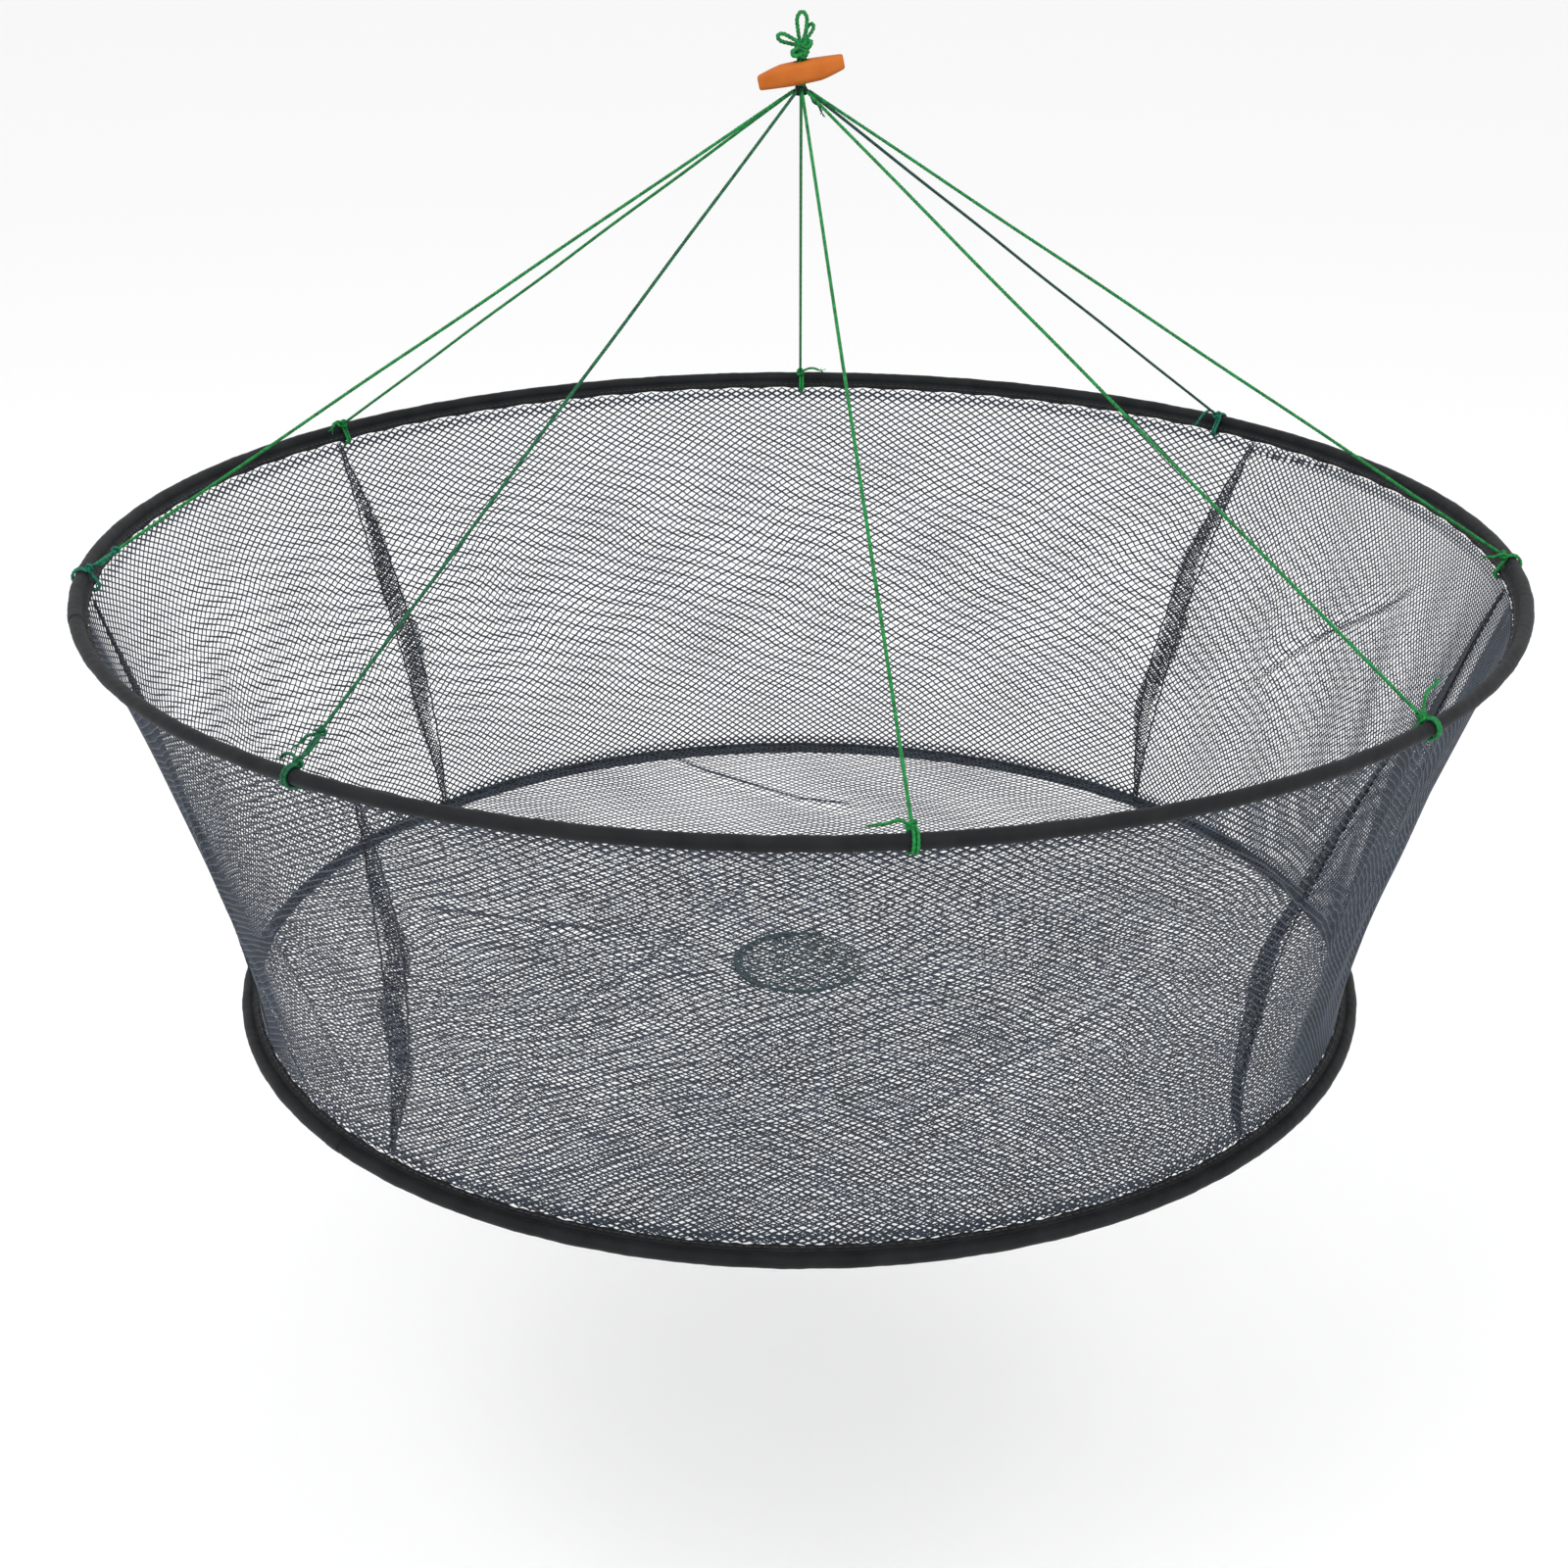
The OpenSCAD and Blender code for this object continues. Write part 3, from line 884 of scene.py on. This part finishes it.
def trefoil(size, centre, tilt):
    """An overhand knot's closed curve, turned by tilt about two axes."""
    t = np.linspace(0, 2 * math.pi, 73)
    x, y, z = np.sin(t) + 2 * np.sin(2 * t), np.cos(t) - 2 * np.cos(2 * t), -1.2 * np.sin(3 * t)
    y, z = y * math.cos(tilt) - z * math.sin(tilt), y * math.sin(tilt) + z * math.cos(tilt)
    x, z = (x * math.cos(1.7 * tilt) - z * math.sin(1.7 * tilt),
            x * math.sin(1.7 * tilt) + z * math.cos(1.7 * tilt))
    return np.stack([x, y, z], -1) * size / 3 + np.asarray(centre)


def frayed(end, direction, length, seed):
    """Loose strands that spread from a cut end."""
    parts = []
    for k in range(7):
        swing = seed + 2.4 * k
        spread = np.array([math.cos(swing), math.sin(swing), math.cos(1.7 * swing)])
        reach = length * (0.7 + 0.3 * math.sin(3 * swing))
        points = [end - direction * MM, end + direction * reach * 0.35 + spread * 0.25 * MM,
                  end + direction * reach * 0.7 + spread * 0.9 * MM,
                  end + direction * reach + spread * (1.3 + 0.6 * math.sin(swing)) * MM]
        parts.append(tube(smooth_path(points, 0.6 * MM), 0.2 * MM, sides=6, strands=1, depth=0))
    return parts


def tail_parts(start, points, seed, fray=5 * MM, radius=CORD_R * 0.92):
    """A loose tail through a few points, with a frayed end."""
    path = smooth_path([start] + [start + np.array(p) * MM for p in points])
    direction = path[-1] - path[-4]
    direction /= np.linalg.norm(direction)
    return [tube(path, radius)] + frayed(path[-1], direction, fray, seed)


# Each tail's points from its knot, in millimetres: inward, along the hoop and up
TAILS = [[(2, -5, 3), (4, -9, 4), (5, -13, 3)],
         [(2, 5, 3), (3, 9, 3), (5, 13, 1)],
         [(3, -4, 1), (6, -7, 0), (9, -11, 2)],
         [(2, -5, 2), (2, -10, 1), (4, -14, -2)],
         [(2, -5, 2), (2, -10, 1), (3, -15, 0)],
         [(1, 3, 5), (1, 4, 10), (0, 8, 13)],
         [(3, -4, 2), (7, -6, 1), (11, -9, 2)],
         [(2, 4, 3), (5, 7, 1), (9, 8, -3)]]
SECOND_KNOTS = {2: 15.5 * MM, 3: 16.5 * MM}
HALF_HITCH_SIZE = 2.5 * MM


def second_knot(a, distance, seed):
    """The loop's other knot, farther up the cord, with the doubled cord between them."""
    start, end = cord_ends(a)
    back = (start - end) / np.linalg.norm(start - end)
    beside = np.cross(back, [0, 0, 1])
    beside /= np.linalg.norm(beside)
    at = end + back * distance
    doubled = [end, end + back * distance * 0.3 + beside * 1.8 * MM,
               end + back * distance * 0.7 + beside * 1.8 * MM, at]
    parts = [tube(smooth_path(doubled), CORD_R * 0.95),
             tube(trefoil(HALF_HITCH_SIZE, at, seed), CORD_R * 0.85)]
    inward = -np.array([math.cos(a), math.sin(a), 0])
    hoopward = np.cross([0, 0, 1], -inward)
    points = [inward * p + hoopward * q + np.array([0, 0, 1]) * w
              for p, q, w in ((-1, -3, -2), (-3, -6, -3), (-6, -8, -6))]
    return parts + tail_parts(at, points, seed, fray=6 * MM)


def make_rim_knots():
    """Each cord's end: two turns round the sleeve, a knot and a frayed tail."""
    shades = [GREEN, GREEN, TEAL, DEEP_GREEN, GREEN, GREEN, GREEN, TEAL]
    for i, a in enumerate(KNOT_AZ):
        inward = -np.array([math.cos(a), math.sin(a), 0])
        hoopward = np.array([-math.sin(a), math.cos(a), 0])
        up = np.array([0, 0, 1.0])
        hoop_centre = polar(TOP_R, a, TOP_Z)

        def placed(points):
            p = np.atleast_2d(points)
            return p[:, :1] * inward + p[:, 1:2] * hoopward + p[:, 2:] * up

        turns = np.concatenate([belt(-1.9 * MM), belt(0.0)])
        knot = rim_knot_centre(a)
        parts = [tube(evenly(hoop_centre + placed(turns), 0.5 * MM), CORD_R * 0.95),
                 tube(trefoil(HALF_HITCH_SIZE, knot, 0.7 + i), CORD_R * 0.9),
                 tube(trefoil(HALF_HITCH_SIZE * 0.7, knot, 2.1 + i), CORD_R * 0.9)]
        parts += tail_parts(knot, list(placed(TAILS[i])), i)
        if i in SECOND_KNOTS:
            parts += second_knot(a, SECOND_KNOTS[i], i + 0.4)
        tied = mesh_object(f"rim_knot_{i + 1}_tied", *merged(parts))
        set_material(tied, shades[i])
        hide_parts(f"rim_knot_{i + 1}")
        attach(tied, "top_hoop")


# ---- hauling knot, float and whipping ----

FLOAT_LOW, FLOAT_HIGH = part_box("float")
FLOAT_Z = (FLOAT_LOW.z + FLOAT_HIGH.z) / 2
FLOAT_TILT = math.radians(12)
FLOAT_L = 46 * MM
FLOAT_H = 11.8 * MM
FLOAT_W = 15 * MM
FLOAT_END_W = 9 * MM
FLOAT_BORE_R = 4.3 * MM
FLOAT_TOP_Z = FLOAT_Z + FLOAT_H / 2 / math.cos(FLOAT_TILT)
WHIPPING_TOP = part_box("gather_whipping")[1].z
WHIPPING_H = WHIPPING_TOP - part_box("gather_whipping")[0].z
CROWN_Z = CORD_R


def loop_path(foot, direction, sideways, reach, half):
    """One bight of the bow: out from the knot, round its crown and back."""
    direction = np.asarray(direction, float) / np.linalg.norm(direction)
    sideways = np.asarray(sideways, float) / np.linalg.norm(sideways)
    off = np.cross(direction, sideways)
    outline = [(-0.3, 0, 0.4), (-0.75, 0.45, 0.5), (-1.0, 0.78, 0.3), (-0.62, 0.95, 0.1), (0, 1, 0),
               (0.62, 0.95, -0.1), (1.0, 0.78, -0.3), (0.75, 0.45, -0.5), (0.3, 0, -0.4)]
    return smooth_path([foot + sideways * s * half + direction * t * reach
                        + off * (w * 1.4 * MM) for s, t, w in outline])


def coil(centre, axis, radius, turns, pitch):
    """Wraps of cord round an axis."""
    axis = np.asarray(axis, float) / np.linalg.norm(axis)
    side = np.cross(axis, [0, 1, 0])
    side /= np.linalg.norm(side)
    other = np.cross(axis, side)
    t = np.linspace(0, 2 * math.pi * turns, int(36 * turns) + 1)[:, None]
    return (np.asarray(centre) + radius * (np.cos(t) * side + np.sin(t) * other)
            + axis * pitch * (t / (2 * math.pi) - turns / 2))


def make_hauling_knot():
    """The bow above the float: a knot of doubled cords with three loops, and the cords below it."""
    base = np.array([0, 0, FLOAT_TOP_Z + 4.4 * MM])
    top = np.array([0.4 * MM, 0, base[2] + 3.2 * MM])
    parts = [tube(coil(base, (0.5, 0.2, 1), 3.3 * MM, 3.4, 1.75 * MM), CORD_R * 1.05),
             tube(coil(base + np.array([0.6, 0, 0.8]) * MM, (-1, 0.1, 0.55), 2.7 * MM, 2.6,
                       1.8 * MM), CORD_R * 1.05),
             tube(coil(top, (0.35, 0.3, 1), 2.3 * MM, 2.2, 1.7 * MM), CORD_R),
             tube(trefoil(3.3 * MM, base, 0.9), CORD_R), tube(trefoil(2.6 * MM, top, 2.3), CORD_R)]
    bulges = [[(-0.5, -3.2, 2.2), (-3.6, -4.4, 1.2), (-4.6, -4.8, -0.4), (-2.8, -5.2, -1.6),
               (0.2, -4.4, -0.8)],
              [(1.5, -2.0, 2), (4.4, -2.6, 3.2), (5.0, -0.5, 5.2), (2.4, 0.5, 4.8)]]
    for points in bulges:
        parts.append(tube(smooth_path([base + np.array(p) * MM for p in points]), CORD_R * 1.4))
    crown = CROWN_Z - top[2]
    loops = [((0, 0, 1), (1, 0.35, 0), crown, 2.6 * MM, 1.2),
             ((-0.93, -0.1, 0.37), (0.37, 0, 0.93), 13.5 * MM, 2.0 * MM, 1.2),
             ((0.45, 0.2, 0.87), (0.85, -0.4, -0.35), 12 * MM, 1.8 * MM, 1.1)]
    for direction, sideways, reach, half, thick in loops:
        parts.append(tube(loop_path(top, direction, sideways, reach, half), CORD_R * thick))
    height = base[2] - WHIPPING_TOP
    for k in range(6):
        turn = np.linspace(0, 1.9, 60)[:, None] + k * math.pi / 3
        rise = np.linspace(0, height, 60)[:, None]
        parts.append(tube(np.concatenate([1.75 * MM * np.cos(turn), 1.75 * MM * np.sin(turn),
                                          WHIPPING_TOP + rise], 1), CORD_R * 0.95))
    knot = mesh_object("hauling_knot_tied", *merged(parts))
    set_material(knot, GREEN)
    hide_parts("hauling_knot")
    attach(knot, "bridle_head")


def make_whipping():
    """Turns of dark thread that gather the cords, with a knobbly tail."""
    middle = WHIPPING_TOP - WHIPPING_H / 2
    parts = [tube(coil((0, 0, middle), (0, 0, 1), 2.75 * MM, 5.2, 0.78 * MM), 0.5 * MM, sides=8),
             tube(trefoil(1.5 * MM, (2.6 * MM, -2.2 * MM, middle), 1.1), 0.5 * MM, sides=8)]
    core = np.array([[0, 0, WHIPPING_TOP], [0, 0, middle], [0, 0, WHIPPING_TOP - WHIPPING_H]])
    parts.append(tube(evenly(core, 0.5 * MM), 2.35 * MM, sides=18, strands=8, pitch=30 * MM,
                      depth=0.1))
    start = np.array([2.6, -2.2, 0]) * MM + np.array([0, 0, middle])
    parts += tail_parts(start, [(2.5, -1, -2.5), (4, -1.5, -5.5), (6.5, -2, -7), (8, -2, -10)], 3,
                        fray=3 * MM, radius=0.6 * MM)
    whipping = mesh_object("gather_whipping_wound", *merged(parts))
    set_material(whipping, DARK_GREEN)
    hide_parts("gather_whipping")
    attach(whipping, "bridle_head")


def float_top(share):
    """The float's upper edge: it falls a little to one end, and is bevelled at the other."""
    bevel = 0.27 * FLOAT_H * np.clip((-share - 0.42) / 0.58, 0, 1) ** 1.2
    return FLOAT_H / 2 - 0.12 * FLOAT_H * max(share, 0) ** 1.5 - bevel


def float_section(share):
    """Half width, top and bottom of the float at a share of its length from -1 to 1."""
    half_w = (FLOAT_END_W + (FLOAT_W - FLOAT_END_W) * (1 - share ** 2)) / 2
    return half_w, float_top(share), -float_top(-share)


def foam_material():
    """Painted foam: fine pores, faded patches and scuffs that show paler."""
    mat, nodes, links, shader = new_material("float_foam", (0.48, 0.125, 0.012), 0.75)
    shader.inputs["Specular IOR Level"].default_value = 0.25
    fade = add_noise(nodes, links, 70, detail=6)
    color_between(nodes, links, shader, fade.outputs["Fac"], (0.43, 0.105, 0.010),
                  (0.53, 0.145, 0.020))
    place = nodes.new("ShaderNodeTexCoord")
    pores = nodes.new("ShaderNodeTexVoronoi")
    pores.inputs["Scale"].default_value = 1300
    links.new(place.outputs["Object"], pores.inputs["Vector"])
    add_bump(nodes, links, shader, pores.outputs["Distance"], 0.15 * MM, 0.5)
    return mat


def make_float():
    """A flat barrel of foam with blunt ends, a bevel at each, and a bore for the cords."""
    sides = 40
    middle = np.linspace(-0.96, 0.96, 41)
    stations = np.concatenate([[-1, -0.985], middle, [0.985, 1]])
    shrink = np.concatenate([[0.80, 0.93], np.ones(len(middle)), [0.93, 0.80]])
    turn = np.arange(sides) * 2 * math.pi / sides
    cosine, sine = np.cos(turn), np.sin(turn)
    square_y = np.sign(cosine) * np.abs(cosine) ** 0.55
    square_z = np.sign(sine) * np.abs(sine) ** 0.55
    verts = []
    for share, small in zip(stations, shrink):
        half_w, top, bottom = float_section(share)
        y = half_w * small * square_y
        z = (top + bottom) / 2 + (top - bottom) / 2 * small * square_z
        x = share * FLOAT_L / 2
        verts.append(np.stack([x * math.cos(FLOAT_TILT) - z * math.sin(FLOAT_TILT), y,
                               x * math.sin(FLOAT_TILT) + z * math.cos(FLOAT_TILT) + FLOAT_Z], -1))
    faces = tube_faces(len(stations), sides)
    body = mesh_object("float_foam", np.concatenate(verts), faces)
    drill_path = np.array([[0, 0, FLOAT_Z - 12 * MM], [0, 0, FLOAT_Z], [0, 0, FLOAT_Z + 12 * MM]])
    drill = mesh_object("drill", *tube(drill_path, FLOAT_BORE_R, sides=48, depth=0))
    bore = body.modifiers.new("bore", "BOOLEAN")
    bore.object = drill
    bore.operation = "DIFFERENCE"
    bore.solver = "EXACT"
    cut = body.evaluated_get(bpy.context.evaluated_depsgraph_get())
    whole = bpy.data.meshes.new_from_object(cut)
    body.modifiers.clear()
    body.data = whole
    bpy.data.objects.remove(drill)
    body.data.set_sharp_from_angle(angle=math.radians(50))
    set_material(body, foam_material())
    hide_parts("float")
    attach(body, "float")


make_hoops()
make_rim_knots()
make_hauling_knot()
make_whipping()
make_float()
